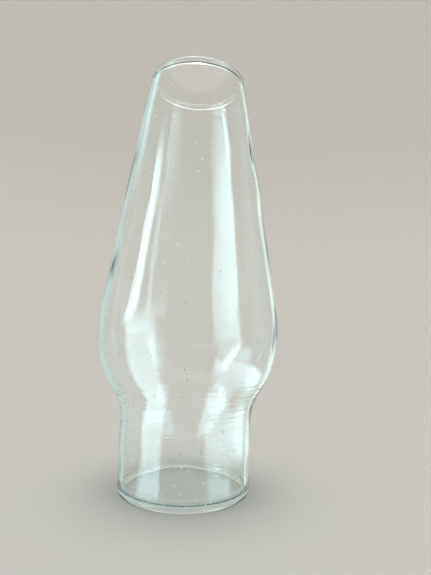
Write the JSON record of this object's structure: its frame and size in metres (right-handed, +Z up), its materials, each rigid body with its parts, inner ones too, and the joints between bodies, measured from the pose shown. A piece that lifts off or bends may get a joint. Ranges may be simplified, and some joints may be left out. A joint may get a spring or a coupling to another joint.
{
  "type": "oil lamp chimney",
  "caption": "Clear blown-glass chimney for an oil lamp: a straight fitter, a pear-shaped bulge and a long taper to an open top, with rounded rims.",
  "frame": {"origin": "centre of the bottom rim, in the plane that it stands on", "axes": "+Z up along the axis, from the fitter to the open top; the part is round about Z, so X and Y are free"},
  "size_m": [0.0708, 0.0708, 0.165],
  "materials": {
    "clear_glass": "clear and colourless, fire-polished, faintly green-blue at the rims"
  },
  "bodies": {
    "root": {"glass_chimney": "clear_glass"}
  },
  "joints": []
}
